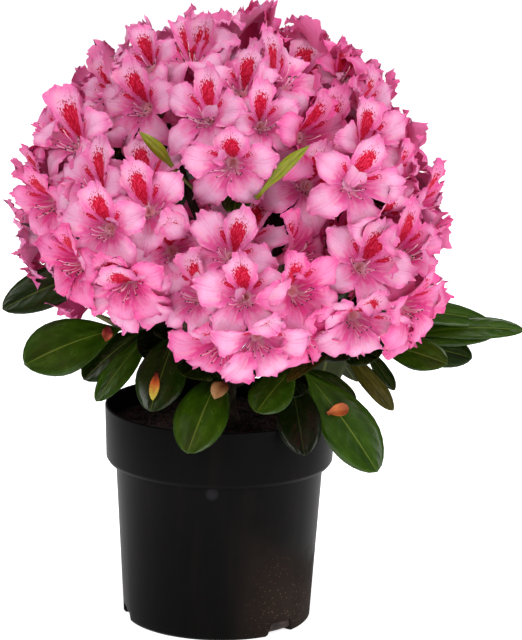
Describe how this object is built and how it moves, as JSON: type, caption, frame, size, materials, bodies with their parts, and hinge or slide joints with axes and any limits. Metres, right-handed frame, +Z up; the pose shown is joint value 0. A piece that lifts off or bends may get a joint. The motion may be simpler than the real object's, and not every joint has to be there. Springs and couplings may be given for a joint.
{
  "type": "potted rhododendron",
  "caption": "Potted rhododendron shrub in full bloom: a dense dome of ruffled pink flower trusses with red-flecked throats over whorls of leathery leaves, in a round black nursery pot.",
  "frame": {"origin": "centre of the pot's flat underside, where it stands on the ground", "axes": "+Z up along the pot's axis, -Y towards the front of the plant as pictured, +X to the right seen from the front"},
  "size_m": [0.4412, 0.3713, 0.5147],
  "materials": {
    "pot": "black satin plastic, dusty towards the foot",
    "soil": "dark brown crumbly compost",
    "bark": "grey-brown ridged bark",
    "bloom": "soft matt petals",
    "leaf": "glossy leathery leaf"
  },
  "bodies": {
    "root": {"bough_back": "bark", "bough_back_left": "bark", "bough_back_low_left": "bark", "bough_back_low_right": "bark", "bough_back_right": "bark", "bough_front_left": "bark", "bough_front_low": "bark", "bough_front_top": "bark", "bough_left": "bark", "bough_left_low": "bark", "bough_right": "bark", "bough_right_front": "bark", "bough_right_low": "bark", "bough_shoot_back_left": "bark", "bough_shoot_back_right": "bark", "bough_shoot_front": "bark", "bough_shoot_front_right": "bark", "bough_shoot_left": "bark", "bough_shoot_right": "bark", "bough_top": "bark", "bough_upper_left": "bark", "bough_upper_right": "bark", "compost": "soil", "pot": "pot", "shoot_back_left": "leaf", "shoot_back_right": "leaf", "shoot_front": "leaf", "shoot_front_right": "leaf", "shoot_left": "leaf", "shoot_right": "leaf", "trunk": "bark", "truss_back": "bloom", "truss_back_left": "bloom", "truss_back_low_left": "bloom", "truss_back_low_right": "bloom", "truss_back_right": "bloom", "truss_front_left": "bloom", "truss_front_low": "bloom", "truss_front_top": "bloom", "truss_left": "bloom", "truss_left_low": "bloom", "truss_right": "bloom", "truss_right_front": "bloom", "truss_right_low": "bloom", "truss_top": "bloom", "truss_upper_left": "bloom", "truss_upper_right": "bloom"}
  },
  "joints": []
}
